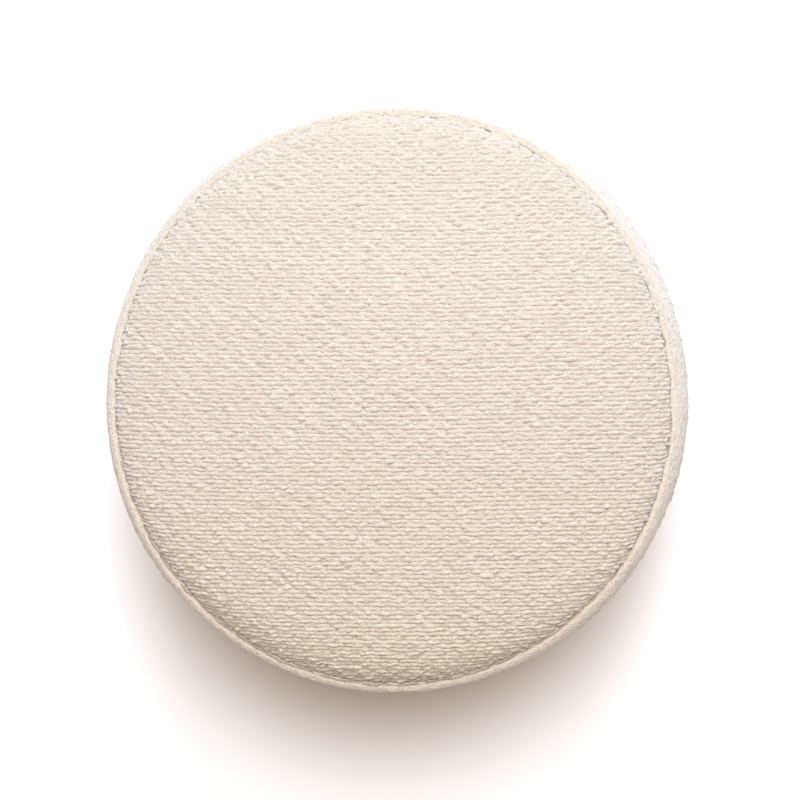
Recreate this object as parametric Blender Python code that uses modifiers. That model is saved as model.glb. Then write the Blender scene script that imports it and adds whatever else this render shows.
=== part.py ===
"""A round upholstered stool: a filled drum covered in cream boucle cloth.

Three cut pieces of cloth make the cover: a round top panel with a soft crown, a side band
whose seam allowance stands as a low ridge beside the top seam, and a flat base panel. Each
is modelled as the filled volume that its cloth encloses, with 0.3 mm between them.
Units are metres, +Z is up, and the origin is on the floor under the middle of the stool.
"""
import math

import bpy

# Driving sizes
HEIGHT = 0.400           # floor to the top of the crown
CROWN_RISE = 0.036       # top of the crown over the seam
CROWN_POWER = 0.5        # 0.5 makes half an ellipse: flat in the middle, rolled down at the edge
SEAM_RADIUS = 0.2119     # mean radius of the seam round the top panel
BULGE_RADIUS = 0.225     # mean radius of the band where it is widest
BULGE_DROP = 0.055       # the widest level under the seam
TUCK = 0.004             # how far both cloths turn in at the seam, and how deep
RIDGE_WIDTH = 0.0036     # the folded seam allowance under the band
RIDGE_RISE = 0.0014      # its top over the stitch line on its outer side
RIDGE_DROP = 0.0014      # that stitch line under the edge of the top panel
SIDE_DRAW = 0.004        # how much narrower the band is above its foot than at its widest
FOOT_HEIGHT = 0.045      # where the band starts to turn in at the bottom
FOOT_TURN = 0.014        # how far it turns in there
FOOT_CLEAR = 0.008       # underside of that turn over the floor
BASE_THICKNESS = 0.005
BASE_RADIUS = 0.2005
BASE_EDGE = 0.003        # roundness of the base panel's edge
GAP = 0.0003             # left between neighbouring pieces
SEGMENTS = 80            # facets round the stool

SEAM_Z = HEIGHT - CROWN_RISE
BULGE_Z = SEAM_Z - BULGE_DROP

# The outline isn't a true circle. Each row is one slow wave round it: how many highs it has,
# how far each one swells, and the direction of the first, in degrees from +X towards +Y.
SEAM_WAVES = (
    {"highs": 2, "swell": 0.0023, "first_high": 84.0},
    {"highs": 3, "swell": 0.0005, "first_high": 70.0},
    {"highs": 4, "swell": 0.0005, "first_high": 64.0},
    {"highs": 5, "swell": 0.0003, "first_high": 53.0},
)
BULGE_WAVES = (
    {"highs": 2, "swell": 0.0009, "first_high": 23.0},
    {"highs": 3, "swell": 0.0014, "first_high": 82.0},
    {"highs": 4, "swell": 0.0014, "first_high": 40.0},
    {"highs": 5, "swell": 0.0004, "first_high": 62.0},
    {"highs": 6, "swell": 0.0003, "first_high": 7.0},
)

# Cloth colours, as linear RGB, and how rough the surface is.
CLOTHS = {
    "boucle_top": {"color": (0.760, 0.680, 0.565), "roughness": 0.95},
    "boucle_side": {"color": (0.780, 0.705, 0.600), "roughness": 0.95},
    "boucle_base": {"color": (0.700, 0.625, 0.520), "roughness": 0.95},
}


def clear_scene():
    for item in list(bpy.data.objects):
        bpy.data.objects.remove(item, do_unlink=True)


def cloth_material(name):
    material = bpy.data.materials.new(name)
    material.use_nodes = True
    shader = material.node_tree.nodes["Principled BSDF"]
    shader.inputs["Base Color"].default_value = (*CLOTHS[name]["color"], 1.0)
    shader.inputs["Roughness"].default_value = CLOTHS[name]["roughness"]
    shader.inputs["Metallic"].default_value = 0.0
    material.diffuse_color = (*CLOTHS[name]["color"], 1.0)
    return material


def steps(count):
    """Shares from 0 to 1 in equal steps, both ends included."""
    return [index / count for index in range(count + 1)]


def quarter_arc(start, end, count, first="out"):
    """Points after start along a quarter ellipse to end, leaving start outwards or downwards."""
    points = []
    for share in steps(count)[1:]:
        turn = share * math.pi / 2
        if first == "out":
            along, down = math.sin(turn), 1 - math.cos(turn)
        else:
            along, down = 1 - math.cos(turn), math.sin(turn)
        radius = start[0] + (end[0] - start[0]) * along
        height = start[1] + (end[1] - start[1]) * down
        points.append((radius, height))
    return points


def top_profile():
    """The crown from the axis out to the seam, its tucked edge and its flat underside."""
    points = []
    for share in steps(15):
        reach = math.sin(share * math.pi / 2)
        lift = max(0.0, 1 - reach * reach) ** CROWN_POWER
        points.append((SEAM_RADIUS * reach, SEAM_Z + CROWN_RISE * lift))
    points.append((SEAM_RADIUS - TUCK, SEAM_Z - TUCK))
    points.append((0.0, SEAM_Z - TUCK))
    return points


def ridge_profile():
    """The low ridge of the seam allowance, from its inner foot to the stitch line beyond it."""
    inner = SEAM_RADIUS + 2 * GAP
    points = []
    for share in steps(6):
        lift = math.sin(share * math.pi) ** 0.7 if 0 < share < 1 else 0.0
        points.append((inner + RIDGE_WIDTH * share, SEAM_Z - RIDGE_DROP + RIDGE_RISE * lift))
    return points


def side_radius(height):
    """Radius of the band between its widest level and its foot."""
    share = (BULGE_Z - height) / (BULGE_Z - FOOT_HEIGHT)
    return BULGE_RADIUS - SIDE_DRAW * share * share


def band_profile():
    """The band from the axis: its flat inside, groove, ridge, shoulder, side, foot and underside."""
    inside = SEAM_Z - TUCK - GAP
    points = [(0.0, inside), (SEAM_RADIUS - TUCK + GAP, inside)]
    points += ridge_profile()
    points += quarter_arc(points[-1], (BULGE_RADIUS, BULGE_Z), 8)
    for share in steps(6)[1:]:
        height = BULGE_Z + (FOOT_HEIGHT - BULGE_Z) * share
        points.append((side_radius(height), height))
    foot_end = (side_radius(FOOT_HEIGHT) - FOOT_TURN, FOOT_CLEAR)
    points += quarter_arc(points[-1], foot_end, 5, first="down")
    underside = BASE_THICKNESS + GAP
    points.append((BASE_RADIUS + GAP, underside))
    points.append((0.0, underside))
    return points


def base_profile():
    """The base panel: a flat disc with a soft edge, lying on the floor."""
    rim = BASE_RADIUS - BASE_EDGE
    points = [(0.0, BASE_THICKNESS), (rim, BASE_THICKNESS)]
    points += quarter_arc(points[-1], (BASE_RADIUS, BASE_THICKNESS / 2), 2)
    points += quarter_arc(points[-1], (rim, 0.0), 2, first="down")
    points.append((0.0, 0.0))
    return points


def wave(rows, angle):
    """How far the slow waves push the outline out at this angle."""
    total = 0.0
    for row in rows:
        total += row["swell"] * math.cos(row["highs"] * (angle - math.radians(row["first_high"])))
    return total


def uneven(radius, height):
    """The share of the seam's waves and of the bulge's waves that a point of the section takes."""
    inward = min(1.0, radius / SEAM_RADIUS) ** 2
    fall = min(1.0, max(0.0, (SEAM_Z - height) / BULGE_DROP))
    fall = fall * fall * (3 - 2 * fall)
    return inward * (1 - fall), inward * fall


def turned_piece(name, profile, cloth, collection):
    """Turns a section about the Z axis and then pushes its points out by the slow waves."""
    outline = bpy.data.meshes.new(name + "_section")
    edges = [(index, index + 1) for index in range(len(profile) - 1)]
    outline.from_pydata([(radius, 0.0, height) for radius, height in profile], edges, [])
    section = bpy.data.objects.new(name + "_section", outline)
    collection.objects.link(section)
    screw = section.modifiers.new("Turn", "SCREW")
    screw.axis = "Z"
    screw.angle = math.tau
    screw.steps = SEGMENTS
    screw.render_steps = SEGMENTS
    screw.use_merge_vertices = True
    screw.merge_threshold = 0.00005
    screw.use_smooth_shade = True

    seen = section.evaluated_get(bpy.context.evaluated_depsgraph_get())
    mesh = bpy.data.meshes.new_from_object(seen)
    bpy.data.objects.remove(section, do_unlink=True)
    for vertex in mesh.vertices:
        x, y, height = vertex.co
        radius = math.hypot(x, y)
        if radius < GAP:
            continue
        angle = math.atan2(y, x)
        seam_share, bulge_share = uneven(radius, height)
        push = seam_share * wave(SEAM_WAVES, angle) + bulge_share * wave(BULGE_WAVES, angle)
        vertex.co = (x * (1 + push / radius), y * (1 + push / radius), height)

    mesh.name = name
    mesh.materials.clear()
    mesh.materials.append(cloth_material(cloth))
    mesh.shade_smooth()
    mesh.set_sharp_from_angle(angle=math.radians(50))
    piece = bpy.data.objects.new(name, mesh)
    collection.objects.link(piece)
    return piece


def build_stool():
    clear_scene()
    collection = bpy.data.collections.new("upholstered_stool")
    bpy.context.scene.collection.children.link(collection)
    turned_piece("top_panel", top_profile(), "boucle_top", collection)
    turned_piece("side_band", band_profile(), "boucle_side", collection)
    turned_piece("base_panel", base_profile(), "boucle_base", collection)


build_stool()
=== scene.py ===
import math

import bmesh
import bpy
import numpy as np
from mathutils import Matrix, Vector


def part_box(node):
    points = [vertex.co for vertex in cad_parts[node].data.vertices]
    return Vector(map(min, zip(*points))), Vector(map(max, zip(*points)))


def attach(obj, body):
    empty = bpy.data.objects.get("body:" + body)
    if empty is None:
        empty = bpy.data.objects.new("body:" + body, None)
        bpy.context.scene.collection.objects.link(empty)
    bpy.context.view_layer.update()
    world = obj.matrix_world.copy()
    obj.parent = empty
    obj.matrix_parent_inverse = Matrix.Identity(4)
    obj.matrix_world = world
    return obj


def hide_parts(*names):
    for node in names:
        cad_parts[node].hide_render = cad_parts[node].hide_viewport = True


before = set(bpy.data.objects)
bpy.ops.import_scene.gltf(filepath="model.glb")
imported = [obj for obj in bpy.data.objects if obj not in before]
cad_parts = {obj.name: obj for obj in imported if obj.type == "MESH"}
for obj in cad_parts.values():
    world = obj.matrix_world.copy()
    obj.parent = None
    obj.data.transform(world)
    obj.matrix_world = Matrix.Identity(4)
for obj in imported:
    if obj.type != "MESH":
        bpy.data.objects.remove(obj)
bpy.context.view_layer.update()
print("stool: frame loaded")


# the stool's shape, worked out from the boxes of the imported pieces

topLow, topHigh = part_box("top_panel")
bandLow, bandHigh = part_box("side_band")
baseLow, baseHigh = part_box("base_panel")


def meanHalf(low, high):
    return (high[0] - low[0] + high[1] - low[1]) / 4


form = {
    "tuck": 0.004,          # how far both cloths turn in at the seam
    "crownPower": 0.5,      # half an ellipse: flat in the middle, rolled down at the edge
    "hollow": 0.0007,       # slow hollows of the crown
    "seamDip": 0.0002,      # how far the seam pulls the crown's edge down
    "frontDip": 0.0018,     # how much further in front
    "pullAndShadeFrom": 10,        # degrees by which the hardest pull, and the most painted shade, lie off the front
    "bulgeDrop": 0.055,     # widest level of the band under the seam
    "ridgeWidth": 0.0036,   # ledge over the folded seam allowance
    "ridgeRise": 0.0004,    # how far the ledge is rounded up
    "ridgeDrop": 0.0014,    # ledge under the seam's level
    "sideDraw": 0.004,      # how much narrower the band is at its foot
    "footHeight": 0.045,    # where the band starts to turn in at the foot
    "footTurn": 0.014,      # how far it turns in
    "footClear": 0.008,     # how far over the floor that turn ends
    "gap": 0.0003,          # between neighbouring pieces
}
form["seamLevel"] = topLow[2] + form["tuck"]
form["crownRise"] = topHigh[2] - form["seamLevel"]
form["seamRadius"] = meanHalf(topLow, topHigh)
form["bulgeRadius"] = meanHalf(bandLow, bandHigh) + 0.0001   # room left for the yarn outside it
form["bulgeLevel"] = form["seamLevel"] - form["bulgeDrop"]
form["baseRadius"] = meanHalf(baseLow, baseHigh) + 0.0007

# slow waves round the outline: how many highs, how far they swell, direction of the first
seamWaves = (
    {"highs": 2, "swell": 0.0023, "firstHigh": 84},
    {"highs": 3, "swell": 0.0005, "firstHigh": 70},
    {"highs": 4, "swell": 0.0005, "firstHigh": 64},
    {"highs": 5, "swell": 0.0003, "firstHigh": 53},
)
bulgeWaves = (
    {"highs": 2, "swell": 0.0009, "firstHigh": 23},
    {"highs": 3, "swell": 0.0014, "firstHigh": 82},
    {"highs": 4, "swell": 0.0014, "firstHigh": 40},
    {"highs": 5, "swell": 0.0004, "firstHigh": 62},
    {"highs": 6, "swell": 0.0003, "firstHigh": 7},
)


def wave(rows, angle):
    total = np.zeros_like(angle, dtype=float)
    for row in rows:
        total = total + row["swell"] * np.cos(row["highs"] * (angle - math.radians(row["firstHigh"])))
    return total


def smooth(share):
    share = np.clip(share, 0, 1)
    return share * share * (3 - 2 * share)


def unit(vectors):
    return vectors / np.maximum(np.linalg.norm(vectors, axis=-1, keepdims=True), 1e-12)


def lengthAlong(x, y):
    return np.concatenate([[0], np.cumsum(np.hypot(np.diff(x), np.diff(y)))])


def pullAndShade(angle):
    # how hard the seam pulls the cloth's shape, and how much painted shade goes with it: most at the front,
    # not at all at the back
    return np.maximum(0, -np.sin(angle + math.radians(form["pullAndShadeFrom"])))


# section of the crown: reach in plan from 0 to 1, rise from 1 to 0, and cloth used from the middle
crownReach = np.sin(np.linspace(0, math.pi / 2, 1500))
crownLift = np.clip(1 - crownReach**2, 0, 1) ** form["crownPower"]
crownCloth = lengthAlong(crownReach * form["seamRadius"], crownLift * form["crownRise"])


def crownPoint(x, y):
    # where a point of the flat round panel lies on the crown
    angle = np.arctan2(y, x)
    seam = form["seamRadius"] + wave(seamWaves, angle)
    used = np.hypot(x, y) * form["seamRadius"] / seam
    reach = np.interp(used, crownCloth, crownReach)
    lift = np.interp(used, crownCloth, crownLift)
    hollows = form["hollow"] * np.sin(31 * x + 1.3) * np.sin(27 * y + 0.4) * (1 - reach**2)
    dip = form["seamDip"] + form["frontDip"] * pullAndShade(angle)
    drawn = dip * smooth((reach - 0.955) / 0.045) ** 2
    height = form["seamLevel"] + form["crownRise"] * lift + hollows - drawn
    return np.stack([seam * reach * np.cos(angle), seam * reach * np.sin(angle), height], -1)


def arcPoints(start, end, count, outFirst=True):
    turn = np.linspace(0, math.pi / 2, count + 1)[1:]
    along, down = (np.sin(turn), 1 - np.cos(turn)) if outFirst else (1 - np.cos(turn), np.sin(turn))
    return [(start[0] + (end[0] - start[0]) * a, start[1] + (end[1] - start[1]) * d)
            for a, d in zip(along, down)]


def bandSection():
    # radius and height from the bottom of the top seam's groove to the base seam
    inner = form["seamRadius"] + 2 * form["gap"]
    points = [(form["seamRadius"] - form["tuck"] + 0.0004, form["seamLevel"] - form["tuck"])]
    for share in np.linspace(0, 1, 25):
        lift = math.sin(share * math.pi) ** 0.7 if 0 < share < 1 else 0
        points.append((inner + form["ridgeWidth"] * share,
                       form["seamLevel"] - form["ridgeDrop"] + form["ridgeRise"] * lift))
    points += arcPoints(points[-1], (form["bulgeRadius"], form["bulgeLevel"]), 40)
    for share in np.linspace(0, 1, 40)[1:]:
        height = form["bulgeLevel"] + (form["footHeight"] - form["bulgeLevel"]) * share
        points.append((form["bulgeRadius"] - form["sideDraw"] * share**2, height))
    footEnd = (points[-1][0] - form["footTurn"], form["footClear"])
    points += arcPoints(points[-1], footEnd, 30, outFirst=False)
    points.append((form["baseRadius"] + 0.0012, bandLow[2] + 0.0006))
    return np.array(points)


section = bandSection()
sectionCloth = lengthAlong(section[:, 0], section[:, 1])
bandCloth = {
    "join": math.radians(90.4),   # the band's ends are sewn together here, at the back
    "joinDepth": 0.0016,
    "joinWidth": 0.0011,
    "joinFold": 0.0005,           # how far the folded ends stand out on each side of it
    "sag": 0.0007,                # slow hollows where the filling gives
}


def bandPoint(cloth, angle):
    # where a point of the band lies: cloth is the length down from the top seam
    radius = np.interp(cloth, sectionCloth, section[:, 0])
    height = np.interp(cloth, sectionCloth, section[:, 1])
    fall = smooth((form["seamLevel"] - height) / form["bulgeDrop"])
    push = wave(seamWaves, angle) * (1 - fall) + wave(bulgeWaves, angle) * fall
    ends = form["bulgeRadius"] * np.minimum(abs(angle - bandCloth["join"]),
                                            abs(angle - bandCloth["join"] - math.tau))
    push = push - bandCloth["joinDepth"] * np.exp(-(ends / bandCloth["joinWidth"]) ** 2)
    push = push + bandCloth["joinFold"] * np.exp(-((ends - 0.004) / 0.0022) ** 2)
    slow = np.sin(3 * angle + 19 * height) * np.sin(5 * angle - 11 * height + 2)
    push = push + bandCloth["sag"] * slow * fall
    return np.stack([(radius + push) * np.cos(angle), (radius + push) * np.sin(angle), height], -1)


# small helpers for objects and for node trees, geometry and material alike

def addObject(name, data):
    made = bpy.data.objects.new(name, data)
    bpy.context.scene.collection.objects.link(made)
    return made


def newMaterial(name):
    # gives the material, its tree and its shader
    material = bpy.data.materials.new(name)
    material.use_nodes = True
    return material, material.node_tree, material.node_tree.nodes["Principled BSDF"]


def plug(tree, socket, value):
    if isinstance(value, bpy.types.NodeSocket):
        tree.links.new(value, socket)
    else:
        socket.default_value = value


def addNode(tree, kind, inputs=(), **settings):
    node = tree.nodes.new(kind)
    for key, value in settings.items():
        setattr(node, key, value)
    for key, value in (inputs.items() if isinstance(inputs, dict) else enumerate(inputs)):
        plug(tree, node.inputs[key], value)
    return node


def calc(tree, operation, *values):
    return addNode(tree, "ShaderNodeMath", values, operation=operation).outputs[0]


def combine(tree, *values):
    return addNode(tree, "ShaderNodeCombineXYZ", values).outputs[0]


def scaled(tree, vector, factor):
    return addNode(tree, "ShaderNodeVectorMath", {0: vector, 3: factor}, operation="SCALE").outputs[0]


def added(tree, first, second):
    return addNode(tree, "ShaderNodeVectorMath", (first, second), operation="ADD").outputs[0]


def remap(tree, value, low, high, newLow=0.0, newHigh=1.0):
    return addNode(tree, "ShaderNodeMapRange", (value, low, high, newLow, newHigh)).outputs[0]


def noiseAt(tree, place, scale, detail):
    inputs = {"Vector": place, "Scale": scale, "Detail": detail}
    return addNode(tree, "ShaderNodeTexNoise", inputs).outputs[0]


def mixed(tree, factor, first, second, blend="MIX"):
    node = addNode(tree, "ShaderNodeMix", {0: factor}, data_type="RGBA", blend_type=blend)
    plug(tree, node.inputs["A"], first)
    plug(tree, node.inputs["B"], second)
    return node.outputs["Result"]


def shaded(color, factor):
    return tuple(factor * c for c in color[:3]) + (1,)


def newGeometryTree(name, inputs):
    # a tree with a geometry socket and these named inputs, None for a material; gives the tree, its
    # inputs and its end
    tree = bpy.data.node_groups.new(name, "GeometryNodeTree")
    tree.interface.new_socket("Geometry", in_out="OUTPUT", socket_type="NodeSocketGeometry")
    tree.interface.new_socket("Geometry", in_out="INPUT", socket_type="NodeSocketGeometry")
    for label, value in inputs.items():
        kind = "NodeSocketMaterial" if value is None else "NodeSocketFloat"
        socket = tree.interface.new_socket(label, in_out="INPUT", socket_type=kind)
        if value is not None:
            socket.default_value = value
    given = tree.nodes.new("NodeGroupInput").outputs
    end = tree.nodes.new("NodeGroupOutput").inputs[0]
    return tree, given, end


def named(tree, label, kind="FLOAT"):
    node = addNode(tree, "GeometryNodeInputNamedAttribute", {"Name": label}, data_type=kind)
    return node.outputs["Attribute"]


def stored(tree, geometry, label, value, kind="FLOAT", domain="POINT"):
    return addNode(tree, "GeometryNodeStoreNamedAttribute",
                   {"Geometry": geometry, "Name": label, "Value": value},
                   data_type=kind, domain=domain).outputs[0]


def shifted(tree, geometry, offset):
    return addNode(tree, "GeometryNodeSetPosition", {"Geometry": geometry, "Offset": offset}).outputs[0]


def endTree(tree, geometry, material, end):
    real = addNode(tree, "GeometryNodeRealizeInstances", (geometry,)).outputs[0]
    smoothed = addNode(tree, "GeometryNodeSetShadeSmooth", {"Geometry": real}).outputs[0]
    painted = addNode(tree, "GeometryNodeSetMaterial", {"Geometry": smoothed, "Material": material})
    tree.links.new(painted.outputs[0], end)


def swing(tree, x, row, seed, gain=3.2):
    # smooth random value from about -1 to 1 that runs along a row and differs between rows
    spot = combine(tree, x, calc(tree, "MULTIPLY", row, 3.71), seed)
    return calc(tree, "MULTIPLY", calc(tree, "SUBTRACT", noiseAt(tree, spot, 1.0, 1.0), 0.5), gain)


def throughNodes(source, tree, name, values):
    # runs a geometry tree on an object and keeps the result as a plain mesh object
    modifier = source.modifiers.new("nodes", "NODES")
    modifier.node_group = tree
    for item in tree.interface.items_tree:
        if item.in_out == "INPUT" and item.name in values:
            modifier[item.identifier] = values[item.name]
    seen = source.evaluated_get(bpy.context.evaluated_depsgraph_get())
    mesh = bpy.data.meshes.new_from_object(seen)
    mesh.name = name
    piece = addObject(name, mesh)
    bpy.data.objects.remove(source, do_unlink=True)
    return piece


def meshObject(name, points, faces, values):
    # a mesh with one named value or vector for each point
    mesh = bpy.data.meshes.new(name)
    mesh.from_pydata(points.tolist(), [], faces.tolist())
    for label, data in values.items():
        vector = data.ndim == 2
        layer = mesh.attributes.new(label, "FLOAT_VECTOR" if vector else "FLOAT", "POINT")
        layer.data.foreach_set("vector" if vector else "value", data.astype(np.float32).ravel())
    return addObject(name, mesh)


boucleLook = {
    "light": (0.619, 0.567, 0.465, 1),   # fibres on top of a row
    "deep": (0.398, 0.338, 0.242, 1),    # painted shade in the gaps between rows
    "fullAt": 0.72,                      # share of a row's height from which it's all light
    "paintedLitSide": (1.0, 1.005, 1.045, 1),     # painted light: paler and cooler on the side towards +Y
    "paintedShadeSide": (0.975, 0.950, 0.900, 1),   # painted shade: yellower on the other
    "paintedShadeGaps": 0.65,                   # painted shade: how much darker the gaps are there
    "paintedLightRange": (-0.20, 0.10),        # Y from the one to the other
    "rosy": (1.016, 0.983, 1.006, 1),    # yarns differ a little in hue
    "grassy": (0.984, 1.014, 0.984, 1),
    "hueScale": 170.0,
    "hueRange": (0.35, 0.65),
    "paintedSheen": (0.88, 0.845, 0.790, 1),     # painted sheen: paler colour where faces are seen edge on
    "rowPitch": 0.0032,                  # from one yarn row to the next, on both cloths
    "tone": 0.06,                        # change of shade along a yarn, and how often it comes
    "toneScale": 130,
    "fleck": 0.9,                        # fine flecks, then tufts, each along and across the rows
    "fleckScale": (900, 1500),
    "tuft": 1.0,
    "tuftScale": (400, 520),
    "patch": 0.08,                       # large faint patches
    "patchScale": 22.0,
    "curl": 0.0010,                      # height of the small curls
    "curlScale": (620, 900),
    "fibre": 0.0005,                     # height of the fine fibres
    "roughness": (0.86, 0.98),
    "specular": 0.18,
    "sheen": 0.40,
    "sheenRoughness": 0.55,
    "sheenTint": (1.0, 0.99, 0.97, 1),
}

# what differs between the two cloths: how much lighter the colour is painted (painted light on the
# band's copy), how far a face turns before its painted sheen shows and where it's full, and its largest
# share
topLook = {"paintedLightening": 1.0, "paintedSheenRange": (0.13, 1.00), "paintedSheenMost": 0.65}
sideLook = {"paintedLightening": 1.06, "paintedSheenRange": (0.12, 0.92), "paintedSheenMost": 1.0}


def boucleMaterial(name, own):
    look = {**boucleLook, **own}
    material, tree, shader = newMaterial(name)
    uv = addNode(tree, "ShaderNodeUVMap", uv_map="cloth").outputs[0]
    spot = addNode(tree, "ShaderNodeSeparateXYZ", (uv,)).outputs
    along, across = spot[0], spot[1]
    row = calc(tree, "FLOOR", calc(tree, "DIVIDE", across, look["rowPitch"]))
    # a point's height share in its row, which also sets the painted shade of the gaps
    plumpAndShade = addNode(tree, "ShaderNodeAttribute", attribute_name="plumpAndShade").outputs["Fac"]

    def stretched(scales, seed):
        return combine(tree, calc(tree, "MULTIPLY", along, scales[0]),
                       calc(tree, "MULTIPLY", across, scales[1]), seed)

    def varied(shade, noise, strength):
        # lighter and darker by half the strength
        return calc(tree, "ADD", shade, calc(tree, "MULTIPLY_ADD", noise, strength, -strength / 2))

    # how light each spot is, from the painted shade of the gaps to the yarn's colour, with random tone
    yarnTone = swing(tree, calc(tree, "MULTIPLY", along, look["toneScale"]), row, 4.0)
    fleck = noiseAt(tree, stretched(look["fleckScale"], 0.0), 1.0, 2.0)
    tuft = noiseAt(tree, stretched(look["tuftScale"], 7.0), 1.0, 1.0)
    patch = noiseAt(tree, uv, look["patchScale"], 2.0)
    shade = calc(tree, "MULTIPLY_ADD", yarnTone, look["tone"], remap(tree, plumpAndShade, 0.0, look["fullAt"]))
    shade = varied(shade, fleck, look["fleck"])
    shade = varied(shade, tuft, look["tuft"])
    shade = varied(shade, patch, look["patch"])
    # painted light and shade by side: paler and cooler towards +Y, yellower with darker gaps towards -Y
    place = addNode(tree, "ShaderNodeTexCoord").outputs["Object"]
    backward = addNode(tree, "ShaderNodeSeparateXYZ", (place,)).outputs[1]
    paintedLitSide = remap(tree, backward, *look["paintedLightRange"])
    deeper = calc(tree, "MULTIPLY_ADD", calc(tree, "SUBTRACT", 1.0, paintedLitSide), look["paintedShadeGaps"], 1.0)
    shade = calc(tree, "SUBTRACT", 1.0, calc(tree, "MULTIPLY", calc(tree, "SUBTRACT", 1.0, shade), deeper))

    # the colour, with painted light and shade by side, tinted by yarn, then with its painted sheen
    # the band's copy is painted lighter than the top's: painted light
    color = mixed(tree, shade, look["deep"], shaded(look["light"], look["paintedLightening"]))
    color = mixed(tree, 1.0, color, mixed(tree, paintedLitSide, look["paintedShadeSide"], look["paintedLitSide"]), "MULTIPLY")
    hue = noiseAt(tree, stretched((0.7, 1.0), 0.0), look["hueScale"], 3.0)
    yarnHue = mixed(tree, remap(tree, hue, *look["hueRange"]), look["rosy"], look["grassy"])
    color = mixed(tree, 1.0, color, yarnHue, "MULTIPLY")
    # painted sheen: a paler colour where a face turns edge on to the camera, on the yarns' tops more than
    # in the gaps
    edgeOn = addNode(tree, "ShaderNodeLayerWeight", {"Blend": 0.5}).outputs["Facing"]
    paintedSheen = calc(tree, "MINIMUM", remap(tree, edgeOn, *look["paintedSheenRange"]), look["paintedSheenMost"])
    paintedSheen = calc(tree, "MULTIPLY", paintedSheen, remap(tree, plumpAndShade, 0.1, 0.7, 0.2, 1.0))
    plug(tree, shader.inputs["Base Color"], mixed(tree, paintedSheen, color, look["paintedSheen"]))

    # small curls of the yarn, then fine fibres lying across it
    curls = addNode(tree, "ShaderNodeTexVoronoi",
                    {"Vector": stretched(look["curlScale"], 0.0), "Scale": 1.0},
                    feature="SMOOTH_F1").outputs["Distance"]
    curlBump = addNode(tree, "ShaderNodeBump",
                       {"Height": calc(tree, "SUBTRACT", 1.0, curls),
                        "Distance": look["curl"], "Strength": 1.0})
    fibreBump = addNode(tree, "ShaderNodeBump",
                        {"Height": fleck, "Distance": look["fibre"], "Strength": 1.0,
                         "Normal": curlBump.outputs[0]})
    plug(tree, shader.inputs["Normal"], fibreBump.outputs[0])
    plug(tree, shader.inputs["Roughness"], remap(tree, fleck, 0.3, 0.7, *look["roughness"]))
    plug(tree, shader.inputs["Specular IOR Level"], look["specular"])
    plug(tree, shader.inputs["Sheen Weight"], look["sheen"])
    plug(tree, shader.inputs["Sheen Roughness"], look["sheenRoughness"])
    plug(tree, shader.inputs["Sheen Tint"], look["sheenTint"])
    return material


threadLook = {
    "color": (0.72, 0.635, 0.515, 1),
    "twist": 2600,                       # how fine the plies are, and how high they stand
    "height": 0.00008,
    "roughness": 0.7,
}


def threadMaterial():
    material, tree, shader = newMaterial("thread")
    place = addNode(tree, "ShaderNodeTexCoord").outputs["Object"]
    noise = noiseAt(tree, place, threadLook["twist"], 1.0)
    color = mixed(tree, noise, shaded(threadLook["color"], 0.8), threadLook["color"])
    bump = addNode(tree, "ShaderNodeBump", {"Height": noise, "Distance": threadLook["height"]})
    plug(tree, shader.inputs["Base Color"], color)
    plug(tree, shader.inputs["Normal"], bump.outputs[0])
    plug(tree, shader.inputs["Roughness"], threadLook["roughness"])
    return material


canvasLook = {
    "color": (0.70, 0.625, 0.52, 1),
    "dark": (0.52, 0.45, 0.36, 1),
    "thread": 0.0009,                    # from thread to thread, and how high they stand
    "height": 0.0003,
    "slubScale": 400.0,
    "roughness": 0.9,
}


def canvasMaterial():
    # plain weave: two crossed sets of threads
    material, tree, shader = newMaterial("base_canvas")
    place = addNode(tree, "ShaderNodeTexCoord").outputs["Object"]
    spot = addNode(tree, "ShaderNodeSeparateXYZ", (place,)).outputs
    turns = math.pi / canvasLook["thread"]
    warp, weft = (calc(tree, "ABSOLUTE", calc(tree, "SINE", calc(tree, "MULTIPLY", spot[k], turns)))
                  for k in (0, 1))
    slub = noiseAt(tree, place, canvasLook["slubScale"], 2.0)
    height = calc(tree, "MULTIPLY_ADD", slub, 0.5, calc(tree, "MULTIPLY", warp, weft))
    # darker where the weave is low: painted shade between the threads, with random slub tone
    color = mixed(tree, calc(tree, "MULTIPLY", height, 0.8), canvasLook["dark"], canvasLook["color"])
    bump = addNode(tree, "ShaderNodeBump", {"Height": height, "Distance": canvasLook["height"]})
    plug(tree, shader.inputs["Base Color"], color)
    plug(tree, shader.inputs["Normal"], bump.outputs[0])
    plug(tree, shader.inputs["Roughness"], canvasLook["roughness"])
    return material


topMaterial = boucleMaterial("boucle_top", topLook)
sideMaterial = boucleMaterial("boucle_side", sideLook)
thread = threadMaterial()
canvas = canvasMaterial()
print("stool: materials made")


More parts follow.
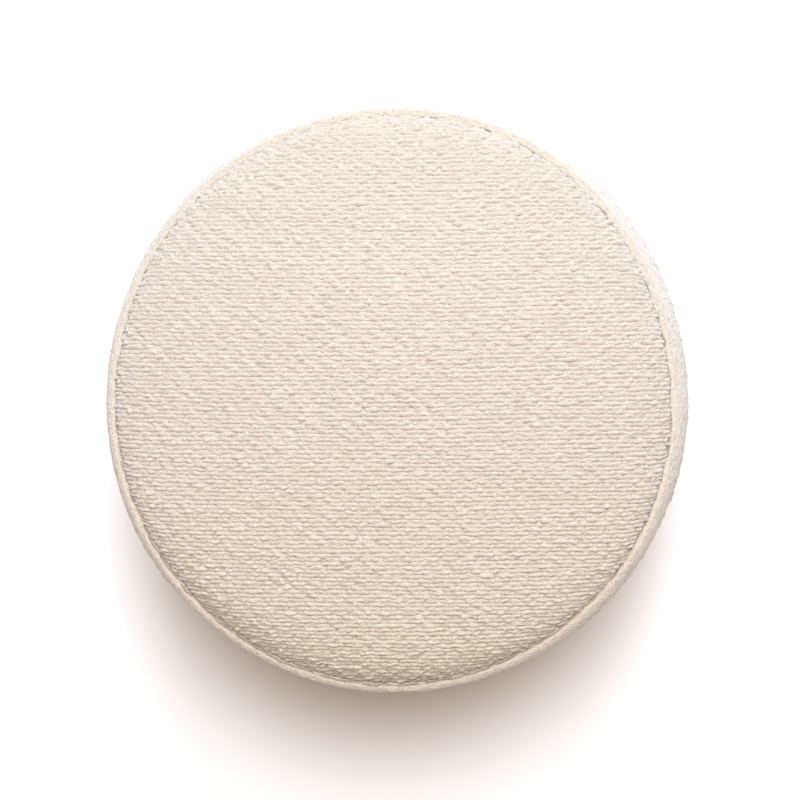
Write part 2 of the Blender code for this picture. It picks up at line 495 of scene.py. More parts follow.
# the yarn rows of both cloths, as a geometry tree with these inputs
yarnRows = {
    "Rise": 0.00180,           # from the gap between rows up to the top of a yarn
    "Sink": 0.55,              # share of the rise that lies under the cloth's own level
    "Lump length": 0.0042,     # short thick and thin places
    "Lump depth": 0.17,
    "Apart": 0.60,             # a thick place goes with thin places in the rows beside it
    "Slub length": 0.0150,     # long thick and thin places
    "Slub depth": 0.05,
    "Tie spacing": 0.0126,     # where a fine warp thread pinches the yarn
    "Tie step": 0.35,          # how far the ties move from row to row, as a share of the spacing
    "Tie stray": 0.12,         # how unevenly they lie, as a share of the spacing
    "Tie depth": 0.06,
    "Wander": 0.00034,         # how far a row strays sideways
    "Wander length": 0.0052,
    "Spread": 0.00055,         # how far a thick place pushes its gaps away
    "Bridge": 0.80,            # how high fibres fill the gap where rows touch
    "Bridge length": 0.0050,
    "Bridge apart": 0.35,      # a touching place goes with gaps in the rows beside it
    "Touching": -0.35,         # below 0 rows touch in fewer places, above 0 in more
    "Pebble length": 0.0160,   # low bumps that repeat slantwise over the rows
    "Pebble step": 0.30,       # in turns from row to row
    "Float length": 0.0053,    # small ones, turn about in every second row
    "Float step": 0.50,
    "Pebble stray": 2.2,       # turns by which the bumps drift out of step
    "Pebble rise": 0.00019,
    "Pebble depth": 0.05,
    "Nap": 0.22,               # roughness from point to point
    "Painted seam shade": -0.45,            # painted shade: how much darker the cloth is near the seam at the front
}

# the sets of slanting bumps: how steeply each runs, how strong it is, and its own random start
slantSets = (
    {"kind": "Pebble", "steepness": 1.0, "weight": 1.0, "shift": 71.0},
    {"kind": "Pebble", "steepness": -1.0, "weight": 0.7, "shift": 83.0},
    {"kind": "Pebble", "steepness": 0.55, "weight": 1.0, "shift": 95.0},
    {"kind": "Pebble", "steepness": -0.55, "weight": 0.5, "shift": 37.0},
    {"kind": "Float", "steepness": 1.0, "weight": 0.5, "shift": 29.0},
)


def yarnTree():
    tree, given, end = newGeometryTree("yarnRows", {**yarnRows, "Seed": 1.0, "Cloth": None})
    along, row, plumpAndShade = (named(tree, label) for label in ("along", "row", "plumpAndShade"))
    lean, fade = named(tree, "lean"), named(tree, "fade")
    lower, upper = calc(tree, "FLOOR", row), calc(tree, "CEIL", row)

    def run(length, where, shift):
        # about -1 to 1 at most places of each row
        x = calc(tree, "DIVIDE", along, given[length])
        return swing(tree, x, where, calc(tree, "ADD", given["Seed"], shift), 8.0)

    def between(length, shift, below=lower, above=upper):
        # for a gap, the mean of the rows above and below
        both = calc(tree, "ADD", run(length, below, shift), run(length, above, shift))
        return calc(tree, "MULTIPLY", both, 0.5)

    def slanting(kind, steepness, shift):
        # bumps in slanting lines, about -1 to 1
        place = combine(tree, calc(tree, "MULTIPLY", along, 28.0), calc(tree, "MULTIPLY", row, 0.11),
                        calc(tree, "ADD", given["Seed"], shift))
        stray = noiseAt(tree, place, 1.0, 2.0)
        step = calc(tree, "MULTIPLY", given[kind + " step"], steepness)
        phase = calc(tree, "DIVIDE", along, given[kind + " length"])
        phase = calc(tree, "MULTIPLY_ADD", row, step, phase)
        phase = calc(tree, "MULTIPLY_ADD", stray, given["Pebble stray"], phase)
        return calc(tree, "COSINE", calc(tree, "MULTIPLY", phase, math.tau))

    # how thick the yarn is at each place
    around = between("Lump length", 0.0, calc(tree, "SUBTRACT", lower, 1.0), calc(tree, "ADD", upper, 1.0))
    around = calc(tree, "MULTIPLY", around, given["Apart"])
    lump = calc(tree, "SUBTRACT", between("Lump length", 0.0), around)
    pebble = 0.0
    for slantSet in slantSets:
        slant = slanting(slantSet["kind"], slantSet["steepness"], slantSet["shift"])
        pebble = calc(tree, "MULTIPLY_ADD", slant, slantSet["weight"], pebble)
    lump = calc(tree, "MULTIPLY_ADD", lump, given["Lump depth"],
                calc(tree, "MULTIPLY", pebble, given["Pebble depth"]))
    slub = calc(tree, "MULTIPLY", between("Slub length", 11.0), given["Slub depth"])
    turn = calc(tree, "MULTIPLY_ADD", row, given["Tie step"],
                calc(tree, "DIVIDE", along, given["Tie spacing"]))
    turn = calc(tree, "MULTIPLY_ADD", run("Slub length", row, 23.0), given["Tie stray"], turn)
    tie = calc(tree, "COSINE", calc(tree, "MULTIPLY", turn, math.tau))
    tie = calc(tree, "MULTIPLY", remap(tree, tie, 0.35, 1.0), given["Tie depth"])
    thick = calc(tree, "SUBTRACT", calc(tree, "ADD", calc(tree, "ADD", lump, slub), 1.0), tie)

    # its height over the cloth, with fibres that fill the gap where two rows touch
    nap = addNode(tree, "ShaderNodeTexWhiteNoise",
                  {"Vector": combine(tree, calc(tree, "MULTIPLY", along, 977.0), row, lean)},
                  noise_dimensions="3D").outputs["Value"]
    nap = calc(tree, "MULTIPLY", calc(tree, "SUBTRACT", nap, 0.5), given["Nap"])
    body = calc(tree, "MULTIPLY", plumpAndShade, calc(tree, "ADD", thick, nap))
    beside = calc(tree, "ADD", run("Bridge length", calc(tree, "SUBTRACT", row, 1.0), 41.0),
                  run("Bridge length", calc(tree, "ADD", row, 1.0), 41.0))
    touch = calc(tree, "SUBTRACT", run("Bridge length", row, 41.0),
                 calc(tree, "MULTIPLY", beside, given["Bridge apart"]))
    touch = calc(tree, "ADD", touch, given["Touching"])
    fill = calc(tree, "MULTIPLY", remap(tree, touch, -0.35, 0.6), given["Bridge"])
    body = calc(tree, "MAXIMUM", body, fill)
    height = calc(tree, "MULTIPLY", calc(tree, "SUBTRACT", body, given["Sink"]), given["Rise"])
    height = calc(tree, "MULTIPLY", calc(tree, "MULTIPLY_ADD", pebble, given["Pebble rise"], height), fade)

    stray = calc(tree, "MULTIPLY", between("Wander length", 57.0), given["Wander"])
    spread = calc(tree, "MULTIPLY", calc(tree, "MULTIPLY", lean, calc(tree, "SUBTRACT", thick, 1.0)),
                  given["Spread"])
    sideways = calc(tree, "MULTIPLY", calc(tree, "ADD", stray, spread), fade)

    # the colour's share: lower, so darker, where the yarn is low or thin, as painted shade of the gaps
    full = calc(tree, "MULTIPLY_ADD", calc(tree, "SUBTRACT", body, 1.0), fade, 1.0)
    # and darker near the seam at the front: painted shade
    full = calc(tree, "MULTIPLY_ADD", named(tree, "paintedSeamShade"), given["Painted seam shade"], full)
    move = added(tree, scaled(tree, named(tree, "outward", "FLOAT_VECTOR"), height),
                 scaled(tree, named(tree, "across", "FLOAT_VECTOR"), sideways))
    endTree(tree, shifted(tree, stored(tree, given["Geometry"], "plumpAndShade", full), move), given["Cloth"], end)
    return tree


yarnNodes = yarnTree()

# points across one row: where they lie in the pitch, how high the yarn is there (which also sets the
# painted shade), and which flank
rowShape = (
    {"at": 0.00, "plumpAndShade": 0.00, "lean": 0.0},
    {"at": 0.15, "plumpAndShade": 0.64, "lean": -1.0},
    {"at": 0.36, "plumpAndShade": 0.96, "lean": -0.5},
    {"at": 0.64, "plumpAndShade": 0.96, "lean": 0.5},
    {"at": 0.85, "plumpAndShade": 0.64, "lean": 1.0},
)


def rowLines(first, last, shape=rowShape):
    # lines of points from the gap before one row to the gap before another:
    # place across in rows, then the line's row, height share and flank
    # the height share also sets the painted shade of the gaps
    lines = [(index + step["at"], index - 0.5 if step["at"] == 0 else index, step["plumpAndShade"], step["lean"])
             for index in range(first, last) for step in shape]
    return np.array(lines + [(last, last - 0.5, 0.0, 0.0)])


def gridFaces(height, width):
    index = np.arange(height * width).reshape(height, width)
    return np.stack([index[:-1, :-1], index[:-1, 1:], index[1:, 1:], index[1:, :-1]], -1).reshape(-1, 4)


def finishMesh(piece, name, yarn):
    # yarn relief, and cloth coordinates as a UV map
    made = throughNodes(piece, yarnNodes, name, yarn)
    mesh = made.data
    count = len(mesh.vertices)
    along, down = np.empty(count, np.float32), np.empty(count, np.float32)
    mesh.attributes["along"].data.foreach_get("value", along)
    mesh.attributes["down"].data.foreach_get("value", down)
    corner = np.empty(len(mesh.loops), np.int32)
    mesh.loops.foreach_get("vertex_index", corner)
    uv = mesh.uv_layers.new(name="cloth")
    uv.data.foreach_set("uv", np.stack([along[corner], down[corner]], -1).ravel())
    for label in ("along", "down", "row", "lean", "fade", "paintedSeamShade", "outward", "across"):
        mesh.attributes.remove(mesh.attributes[label])
    return made


# top panel, in two halves that meet in the gap between two rows
topCloth = {
    "rowPitch": boucleLook["rowPitch"],
    "step": 0.0015,        # between points along a row
    "grain": 0.15,         # degrees that the rows are turned
    "bow": 0.012,          # how far the rows are pulled into a bow
    "spread": 0.60,        # how far apart the rows are pulled at their ends
    "drift": 0.0004,       # rows slowly closer and wider apart
    "jog": 0.0012,         # the rows step over by this much across the middle
    "pucker": 0.00035,     # cloth drawn in at each stitch of the seam
    "stitch": 0.0062,      # from stitch to stitch there
    "turnIn": 0.0010,      # the edge's first fold at the seam, inwards and down
    "turnDown": 0.0018,
    "yarn": {"Seed": 3.0},
}


def flatTop(along, cross):
    bowed = cross * (1 + topCloth["spread"] * along**2) + topCloth["bow"] * along**2
    bowed = bowed + topCloth["drift"] * np.sin(120 * cross + 25 * along + 1.0)
    bowed = bowed + topCloth["jog"] * smooth((along - 0.02) / 0.11)
    turn = math.radians(topCloth["grain"])
    return (along * math.cos(turn) - bowed * math.sin(turn),
            along * math.sin(turn) + bowed * math.cos(turn))


def clothLimit(x, y):
    # length of cloth from the middle to the seam in this direction
    return crownCloth[-1] * (1 + wave(seamWaves, np.arctan2(y, x)) / form["seamRadius"])


def makeTop(name, half):
    pitch, step = topCloth["rowPitch"], topCloth["step"]
    reach = crownCloth[-1] * 1.03
    rows = int(reach / pitch) + 1
    lines = rowLines(0, rows) if half > 0 else rowLines(-rows, 0)
    along = np.arange(-int(reach / step), int(reach / step) + 1) * step
    alongGrid, crossGrid = np.meshgrid(along, lines[:, 0] * pitch)
    x, y = flatTop(alongGrid, crossGrid)
    limit = clothLimit(x, y)
    length = np.hypot(x, y)
    faces = gridFaces(*x.shape)
    inside = (length < limit * 0.9985).ravel()
    faces = faces[inside[faces].any(axis=1)]
    shrink = np.minimum(1, limit / np.maximum(length, 1e-9))    # points past the seam go onto it
    x, y = (x * shrink).ravel(), (y * shrink).ravel()
    used, faces = np.unique(faces, return_inverse=True)
    faces = faces.reshape(-1, 4)
    x, y = x[used], y[used]

    points = crownPoint(x, y)
    nudge = 0.0003
    inward = np.minimum(1, 1 - 2 * nudge / np.maximum(np.hypot(x, y), 1e-3))
    right = crownPoint(x * inward + nudge, y * inward) - crownPoint(x * inward - nudge, y * inward)
    up = crownPoint(x * inward, y * inward + nudge) - crownPoint(x * inward, y * inward - nudge)
    share = np.hypot(x, y) / clothLimit(x, y)
    paintedFront = pullAndShade(np.arctan2(y, x))
    drawn = np.cos(np.arctan2(y, x) * form["seamRadius"] / topCloth["stitch"] * math.tau)
    outward = unit(np.cross(right, up))
    points -= outward * (topCloth["pucker"] * (1 + drawn) * smooth((share - 0.955) / 0.045))[:, None]
    lineValues = [np.repeat(lines[:, k], len(along))[used] for k in (1, 2, 3)]
    values = {
        "along": alongGrid.ravel()[used], "down": crossGrid.ravel()[used],
        "row": lineValues[0], "plumpAndShade": lineValues[1], "lean": lineValues[2],
        "fade": 1 - 0.25 * smooth((share - 0.990) / 0.010),
        # painted shade near the seam, most at the front and reaching further in there
        "paintedSeamShade": paintedFront * smooth((share - 0.97 + 0.17 * paintedFront) / (0.03 + 0.17 * paintedFront)),
        "outward": outward, "across": unit(up),
    }
    piece = meshObject("top_sheet", points, faces, values)
    closeTop(piece.data, half)
    return finishMesh(piece, name, {**topCloth["yarn"], "Cloth": topMaterial})


def closeTop(mesh, half):
    # turns the outer edge in at the seam, takes the cut edge straight down, and closes the underside
    bm = bmesh.new()
    bm.from_mesh(mesh)
    fade, plumpAndShade, down = (bm.verts.layers.float[label] for label in ("fade", "plumpAndShade", "down"))
    rim = [v for v in bm.verts if v.is_boundary and abs(v[down]) > 1e-6]
    bmesh.ops.remove_doubles(bm, verts=rim, dist=0.0004)
    bmesh.ops.dissolve_degenerate(bm, dist=0.00001, edges=bm.edges)
    for edge in bm.edges:
        if edge.is_boundary and all(abs(v[down]) < 1e-6 for v in edge.verts):
            edge.smooth = False
    under = form["seamLevel"] - form["tuck"] + 0.0002
    for turnIn, drop in ((topCloth["turnIn"], topCloth["turnDown"]), (form["tuck"], form["tuck"] - 0.0002)):
        edges = [e for e in bm.edges if e.is_boundary]
        made = bmesh.ops.extrude_edge_only(bm, edges=edges)["geom"]
        for v in (item for item in made if isinstance(item, bmesh.types.BMVert)):
            angle = math.atan2(v.co.y, v.co.x)
            seam = form["seamRadius"] + float(wave(seamWaves, np.array(angle)))
            if math.hypot(v.co.x, v.co.y) > seam - form["tuck"]:
                radius = seam - turnIn
                v.co = (radius * math.cos(angle), radius * math.sin(angle), form["seamLevel"] - drop)
            else:
                v.co.z = under
            v[fade] = 0
            # painted shade on the turned-in edge: light at the back, darker at the front
            v[plumpAndShade] = 0.9 - 0.7 * pullAndShade(angle)
    edges = [e for e in bm.edges if e.is_boundary]
    made = bmesh.ops.extrude_edge_only(bm, edges=edges)["geom"]
    verts = [item for item in made if isinstance(item, bmesh.types.BMVert)]
    middle = Vector((0, half * 0.4 * form["seamRadius"], under))
    bmesh.ops.pointmerge(bm, verts=verts, merge_co=middle)
    bmesh.ops.recalc_face_normals(bm, faces=bm.faces)
    bm.to_mesh(mesh)
    bm.free()


tops = [makeTop("top_cloth_back", 1), makeTop("top_cloth_front", -1)]
print("stool: top panel made,", sum(len(t.data.polygons) for t in tops), "faces")


# side band, in rings that meet in the gaps between rows
sideCloth = {
    "rowPitch": boucleLook["rowPitch"],
    "step": 0.0026,        # between points along a row
    "rings": 3,            # meshes that the band is made of
    "taut": 0.60,          # share of the relief left where the cloth is pulled over the shoulder
    "tautEnd": 0.070,      # length of cloth from the top seam at which the relief is whole again
    "yarn": {"Rise": 0.00130, "Sink": 0.95, "Wander": 0.00030, "Touching": -0.15, "Seed": 40.0},
}
sideShape = (
    {"at": 0.00, "plumpAndShade": 0.00, "lean": 0.0},
    {"at": 0.20, "plumpAndShade": 0.80, "lean": -1.0},
    {"at": 0.50, "plumpAndShade": 1.00, "lean": 0.0},
    {"at": 0.80, "plumpAndShade": 0.80, "lean": 1.0},
)


girth = math.tau * form["bulgeRadius"]
rowCount = round(sectionCloth[-1] / sideCloth["rowPitch"])


def sideColumns():
    # distances round the band from its join, closer together beside the join
    columns = np.linspace(0, girth, int(girth / sideCloth["step"]) + 1)
    near = np.array([0.0007, 0.0015])
    return np.concatenate([[0], near, columns[1:-1], girth - near[::-1], [girth]])


def makeSide(name, columns, lines):
    alongGrid, clothGrid = np.meshgrid(columns, lines[:, 0] * sectionCloth[-1] / rowCount)
    angle = bandCloth["join"] + alongGrid / form["bulgeRadius"]
    points = bandPoint(clothGrid, angle).reshape(-1, 3)
    nudge = 0.0004
    down = bandPoint(clothGrid + nudge, angle) - bandPoint(clothGrid - nudge, angle)
    turned = bandPoint(clothGrid, angle + nudge) - bandPoint(clothGrid, angle - nudge)
    ends = np.minimum(alongGrid, girth - alongGrid).ravel()
    length = clothGrid.ravel()
    taut = sideCloth["taut"]
    relief = taut + (1 - taut) * smooth((length - 0.02) / (sideCloth["tautEnd"] - 0.02))
    relief *= smooth((length - sectionCloth[1] + 0.001) / 0.003)
    lineValues = [np.repeat(lines[:, k], len(columns)) for k in (1, 2, 3)]
    values = {
        "along": alongGrid.ravel(), "down": np.repeat(lines[:, 0] * sideCloth["rowPitch"], len(columns)),
        "row": lineValues[0], "plumpAndShade": lineValues[1], "lean": lineValues[2],
        "fade": relief * smooth(ends / 0.0016) * smooth((sectionCloth[-1] - length) / 0.0012),
        # painted shade on the band's edge at the seam, most at the front
        "paintedSeamShade": pullAndShade(angle.ravel()) * (0.5 - 0.5 * smooth((length - sectionCloth[1]) / 0.003)),
        "outward": unit(np.cross(down, turned)).reshape(-1, 3),
        "across": unit(down).reshape(-1, 3),
    }
    faces = gridFaces(*alongGrid.shape)[:, [0, 3, 2, 1]]
    piece = meshObject(name + "_sheet", points, faces, values)
    closeSide(piece.data, alongGrid.shape)
    made = finishMesh(piece, name, {**sideCloth["yarn"], "Cloth": sideMaterial})
    sewJoin(made.data)
    return made


def closeSide(mesh, shape):
    # closes a ring over the filling, in to the stool's axis
    bm = bmesh.new()
    bm.from_mesh(mesh)
    height, width = shape
    fade, down = bm.verts.layers.float["fade"], bm.verts.layers.float["down"]
    points = list(bm.verts)
    for start, flip in ((0, False), ((height - 1) * width, True)):
        line = points[start:start + width]
        middle = bm.verts.new((0, 0, sum(v.co.z for v in line) / width))
        middle[fade], middle[down] = 0, line[0][down]
        for first, second in zip(line[:-1], line[1:]):
            bm.faces.new((middle, second, first) if flip else (middle, first, second))
            bm.edges.get((first, second)).smooth = False
    bm.normal_update()
    bm.to_mesh(mesh)
    bm.free()


def sewJoin(mesh):
    # the two ends of the band become one line of points
    bm = bmesh.new()
    bm.from_mesh(mesh)
    ends = [v for v in bm.verts if v.is_boundary]
    bmesh.ops.remove_doubles(bm, verts=ends, dist=0.00001)
    bm.to_mesh(mesh)
    bm.free()


columns = sideColumns()
cuts = np.linspace(0, rowCount, sideCloth["rings"] + 1).astype(int)
sides = [makeSide(f"side_cloth_{k + 1}", columns, rowLines(cuts[k], cuts[k + 1], sideShape))
         for k in range(sideCloth["rings"])]
print("stool: side band made,", sum(len(s.data.polygons) for s in sides), "faces")


# base panel
baseCloth = {
    "segments": 160,
    "rings": (0.30, 0.60, 0.85, 0.97),    # as shares of its radius
    "edge": 0.0024,                       # radius of the rounded rim
}


def makeBase():
    # closed flat disc with a rounded, slightly puckered rim
    radius = form["baseRadius"] - 0.0004
    high, edge = baseHigh[2] - 0.0002, baseCloth["edge"]
    rows = [(0.0, high)] + [(radius * r, high) for r in baseCloth["rings"]]
    for turn in np.linspace(0, math.pi, 9):
        rows.append((radius - edge + edge * math.sin(turn), high / 2 + high / 2 * math.cos(turn)))
    rows += [(radius * r, 0.0) for r in baseCloth["rings"][::-1]] + [(0.0, 0.0)]
    bm = bmesh.new()
    count = baseCloth["segments"]
    rings = []
    for ringRadius, height in rows:
        if ringRadius == 0:
            rings.append([bm.verts.new((0, 0, height))])
            continue
        ring = []
        for k in range(count):
            angle = math.tau * k / count
            push = 1 + float(wave(bulgeWaves, np.array(angle))) / radius
            ring.append(bm.verts.new((ringRadius * push * math.cos(angle),
                                      ringRadius * push * math.sin(angle), height)))
        rings.append(ring)
    for upper, lower in zip(rings[:-1], rings[1:]):
        for k in range(count):
            corners = [upper[k % len(upper)], lower[k % len(lower)],
                       lower[(k + 1) % len(lower)], upper[(k + 1) % len(upper)]]
            bm.faces.new(dict.fromkeys(corners))    # three corners beside the middle
    bmesh.ops.recalc_face_normals(bm, faces=bm.faces)
    mesh = bpy.data.meshes.new("base_cloth")
    bm.to_mesh(mesh)
    bm.free()
    mesh.materials.append(canvas)
    mesh.shade_smooth()
    mesh.set_sharp_from_angle(angle=math.radians(50))
    return addObject("base_cloth", mesh)


base = makeBase()
print("stool: base panel made")


# stitches along a path, as a geometry tree; each line of them has its own sizes
stitchSizes = {
    "Spacing": 0.0070,        # from stitch to stitch
    "Length": 0.0052,
    "Thickness": 0.00042,     # radius of the thread
    "Lift": 0.0004,           # how far its middle stands over the cloth
}
ridgeSewing = {"Spacing": 0.0031, "Length": 0.0022, "Thickness": 0.00030}    # finer ones beside the ledge


def stitchTree():
    tree, given, end = newGeometryTree("stitches", {**stitchSizes, "Material": None})
    path = addNode(tree, "GeometryNodeMeshToCurve", {"Mesh": given["Geometry"]}).outputs[0]
    points = addNode(tree, "GeometryNodeResampleCurve", {"Curve": path, "Length": given["Spacing"]},
                     mode="LENGTH").outputs[0]
    half = calc(tree, "MULTIPLY", given["Length"], 0.5)
    bend = addNode(tree, "GeometryNodeCurvePrimitiveBezierSegment",
                   {"Resolution": 5,
                    "Start": combine(tree, calc(tree, "MULTIPLY", half, -1.0), 0.0,
                                     calc(tree, "MULTIPLY", given["Lift"], -1.6)),
                    "Start Handle": combine(tree, calc(tree, "MULTIPLY", half, -0.7), 0.0, given["Lift"]),
                    "End Handle": combine(tree, calc(tree, "MULTIPLY", half, 0.7), 0.0, given["Lift"]),
                    "End": combine(tree, half, 0.0, calc(tree, "MULTIPLY", given["Lift"], -1.6))})
    ring = addNode(tree, "GeometryNodeCurvePrimitiveCircle",
                   {"Resolution": 6, "Radius": given["Thickness"]})
    stitch = addNode(tree, "GeometryNodeCurveToMesh",
                     {"Curve": bend.outputs[0], "Profile Curve": ring.outputs[0], "Fill Caps": True})
    aim = addNode(tree, "FunctionNodeAlignRotationToVector",
                  {"Vector": addNode(tree, "GeometryNodeInputTangent").outputs[0]}, axis="X")
    face = addNode(tree, "FunctionNodeAlignRotationToVector",
                   {"Rotation": aim.outputs[0], "Vector": named(tree, "outward", "FLOAT_VECTOR")},
                   axis="Z", pivot_axis="X")
    placed = addNode(tree, "GeometryNodeInstanceOnPoints",
                     {"Points": points, "Instance": stitch.outputs[0], "Rotation": face.outputs[0]})
    endTree(tree, placed.outputs[0], given["Material"], end)
    return tree


strandShape = {
    "Step": 0.0006,           # between rings of points
    "Thickness": 0.00068,     # radius of the yarn
    "Ply length": 0.0030,     # the twisted plies show as slanting lumps
    "Ply depth": 0.45,
    "Ply shade": 0.36,        # painted shade: how much lighter the plies are than the gaps between them
    "Lump length": 0.0050,
    "Lump depth": 0.20,
    "Sway": 0.0009,           # how far it strays sideways and up
}


def strandTree():
    # one lumpy twisted yarn along a path
    tree, given, end = newGeometryTree("strand", {**strandShape, "Material": None})
    path = addNode(tree, "GeometryNodeMeshToCurve", {"Mesh": given["Geometry"]}).outputs[0]
    fine = addNode(tree, "GeometryNodeResampleCurve", {"Curve": path, "Length": given["Step"]},
                   mode="LENGTH").outputs[0]
    sway = addNode(tree, "ShaderNodeTexNoise", {"Scale": 85.0, "Detail": 1.0}).outputs["Color"]
    sway = scaled(tree, added(tree, sway, (-0.5, -0.5, -0.5)), calc(tree, "MULTIPLY", given["Sway"], 6.0))
    length = addNode(tree, "GeometryNodeSplineParameter").outputs["Length"]
    spine = stored(tree, shifted(tree, fine, sway), "along", length)
    ring = addNode(tree, "GeometryNodeCurvePrimitiveCircle", {"Resolution": 8, "Radius": 1.0}).outputs[0]
    profile = stored(tree, ring, "round", addNode(tree, "GeometryNodeSplineParameter").outputs["Factor"])
    lump = swing(tree, calc(tree, "DIVIDE", named(tree, "along"), given["Lump length"]), 1.0, 5.0, 8.0)
    size = calc(tree, "MULTIPLY", calc(tree, "MULTIPLY_ADD", lump, given["Lump depth"], 1.0),
                given["Thickness"])
    tube = addNode(tree, "GeometryNodeCurveToMesh",
                   {"Curve": spine, "Profile Curve": profile, "Scale": size}).outputs[0]
    turns = calc(tree, "ADD", calc(tree, "MULTIPLY", named(tree, "round"), 2.0),
                 calc(tree, "DIVIDE", named(tree, "along"), given["Ply length"]))
    ply = calc(tree, "ABSOLUTE", calc(tree, "COSINE", calc(tree, "MULTIPLY", turns, math.pi)))
    swell = calc(tree, "MULTIPLY", calc(tree, "SUBTRACT", ply, 0.6),
                 calc(tree, "MULTIPLY", given["Ply depth"], given["Thickness"]))
    normal = addNode(tree, "GeometryNodeInputNormal").outputs[0]
    swollen = shifted(tree, tube, scaled(tree, normal, swell))
    # painted shade between the plies
    shown = stored(tree, swollen, "plumpAndShade", calc(tree, "MULTIPLY", ply, given["Ply shade"]))
    place = combine(tree, named(tree, "along"), calc(tree, "MULTIPLY", named(tree, "round"), 0.006), 0.0)
    mapped = stored(tree, shown, "cloth", place, "FLOAT2", "CORNER")
    endTree(tree, mapped, given["Material"], end)
    return tree


pathAngles = bandCloth["join"] + np.linspace(0, math.tau, 721)[:-1]


def pathRing(name, cloth, lift):
    # a closed path on the band at this length of cloth from the top seam and this far over the
    # cloth, each one number or one for each angle
    angle = pathAngles
    down = cloth + np.zeros_like(angle)
    points = bandPoint(down, angle)
    slope = bandPoint(down + 0.0004, angle) - bandPoint(down - 0.0004, angle)
    turned = bandPoint(down, angle + 0.001) - bandPoint(down, angle - 0.001)
    outward = unit(np.cross(slope, turned))
    mesh = bpy.data.meshes.new(name + "_path")
    count = len(angle)
    mesh.from_pydata((points + outward * np.reshape(lift, (-1, 1))).tolist(),
                     [(k, (k + 1) % count) for k in range(count)], [])
    layer = mesh.attributes.new("outward", "FLOAT_VECTOR", "POINT")
    layer.data.foreach_set("vector", outward.astype(np.float32).ravel())
    return addObject(name + "_path", mesh)


# where each line lies: cloth down from the ledge's inner side, from its outer side or from the base
# seam, and how far over the cloth; then how much of both the pull of the seam adds in front
seamPlace = {"down": -0.0002, "lift": 0.0004, "frontDown": 0.0010, "frontLift": -0.0004}
ridgePlace = {"down": 0.0, "lift": 0.0001}
basePlace = {"down": -0.0022, "lift": 0.0002}

inner, outer, foot = (float(sectionCloth[k]) for k in (1, 25, -1))
front = pullAndShade(pathAngles)
seamPath = pathRing("seam_strand", inner + seamPlace["down"] + seamPlace["frontDown"] * front,
                    seamPlace["lift"] + seamPlace["frontLift"] * front)
ridgePath = pathRing("ridge_stitches", outer + ridgePlace["down"], ridgePlace["lift"])
basePath = pathRing("base_stitches", foot + basePlace["down"], basePlace["lift"])

strand = throughNodes(seamPath, strandTree(), "seam_strand", {"Material": sideMaterial})
for label in ("along", "round"):
    strand.data.attributes.remove(strand.data.attributes[label])
stitchNodes = stitchTree()
ridgeStitches = throughNodes(ridgePath, stitchNodes, "ridge_stitches", {**ridgeSewing, "Material": thread})
baseStitches = throughNodes(basePath, stitchNodes, "base_stitches", {"Material": thread})
print("stool: stitches made")


# what each piece stands for
for top in tops:
    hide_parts("top_panel")
    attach(top, "root")
for side in sides:
    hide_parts("side_band")
    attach(side, "root")
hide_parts("base_panel")
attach(base, "root")
for sewn in (strand, ridgeStitches, baseStitches):
    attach(sewn, "root")


# floor, light and camera
studio = {
    "floor": (0.93, 0.93, 0.93, 1),
    "floorRadius": 2.0,
    "floorRoughness": 0.9,
    "floorSpecular": 0.1,
    "backdrop": (0.97, 0.965, 0.96, 1),    # what the camera sees past the floor
    "world": (1.0, 0.84, 0.67, 1),         # soft light from all round
    "worldStrength": 0.28,
}
studioLights = (
    {"name": "key", "power": 160, "size": 1.3, "at": (0.34, 0.97, 4.15), "color": (1.0, 1.01, 1.09)},
    {"name": "back", "power": 62, "size": 1.6, "at": (0.34, 2.83, 3.13), "color": (0.93, 1.0, 1.10)},
    {"name": "front", "power": 17, "size": 2.0, "at": (-0.3, -3.2, 2.2), "color": (1.0, 0.68, 0.40)},
)


def makeStage():
    bpy.ops.mesh.primitive_circle_add(vertices=96, radius=studio["floorRadius"], fill_type="NGON",
                                      location=(0, 0, -0.0002))
    floor = bpy.context.object
    floor.name = "floor"
    material, tree, shader = newMaterial("floor_paper")
    plug(tree, shader.inputs["Base Color"], studio["floor"])
    plug(tree, shader.inputs["Roughness"], studio["floorRoughness"])
    plug(tree, shader.inputs["Specular IOR Level"], studio["floorSpecular"])
    floor.data.materials.append(material)


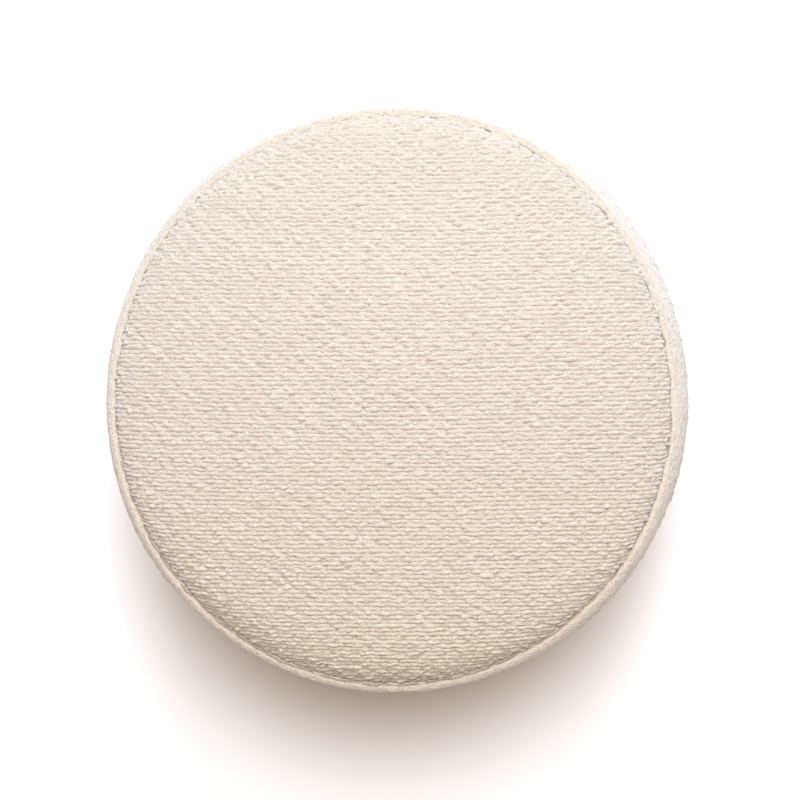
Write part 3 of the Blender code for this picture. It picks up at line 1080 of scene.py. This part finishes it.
def areaLight(row, target):
    lamp = bpy.data.lights.new(row["name"], "AREA")
    lamp.energy = row["power"]
    lamp.color = row["color"]
    lamp.shape = "DISK"
    lamp.size = row["size"]
    light = addObject(row["name"], lamp)
    light.location = row["at"]
    light.rotation_mode = "QUATERNION"
    light.rotation_quaternion = (Vector(row["at"]) - Vector(target)).to_track_quat("Z", "Y")


def makeLight():
    world = bpy.data.worlds.new("studio")
    bpy.context.scene.world = world
    world.use_nodes = True
    tree = world.node_tree
    background = tree.nodes["Background"]
    plug(tree, background.inputs[0], studio["world"])
    plug(tree, background.inputs[1], studio["worldStrength"])
    seen = addNode(tree, "ShaderNodeBackground", {0: studio["backdrop"], 1: 1.0}).outputs[0]
    direct = addNode(tree, "ShaderNodeLightPath").outputs["Is Camera Ray"]
    both = addNode(tree, "ShaderNodeMixShader", (direct, background.outputs[0], seen)).outputs[0]
    tree.links.new(both, tree.nodes["World Output"].inputs[0])
    for row in studioLights:
        areaLight(row, (0, 0, form["bulgeLevel"]))
    bpy.context.scene.view_settings.view_transform = "Standard"


cameraView = {
    "distance": 2.055,          # from the stool's widest level
    "lean": 5.0,                # degrees off the upright
    "towards": 33,              # direction of that lean
    "lens": 119.4,
    "aim": (0.0022, -0.0017),   # where on that level it looks
}


def makeCamera():
    camera = bpy.data.cameras.new("camera")
    camera.lens = cameraView["lens"]
    camera.clip_start, camera.clip_end = 0.05, 60
    eye = addObject("camera", camera)
    lean, towards = math.radians(cameraView["lean"]), math.radians(cameraView["towards"])
    back = Vector((math.sin(lean) * math.cos(towards), math.sin(lean) * math.sin(towards), math.cos(lean)))
    target = Vector((*cameraView["aim"], form["bulgeLevel"]))
    eye.location = target + back * cameraView["distance"]
    side = Vector((0, 1, 0)).cross(back).normalized()
    up = back.cross(side)
    eye.rotation_mode = "QUATERNION"
    eye.rotation_quaternion = Matrix((side, up, back)).transposed().to_quaternion()
    bpy.context.scene.camera = eye


makeStage()
makeLight()
makeCamera()
print("stool: stage, light and camera made")
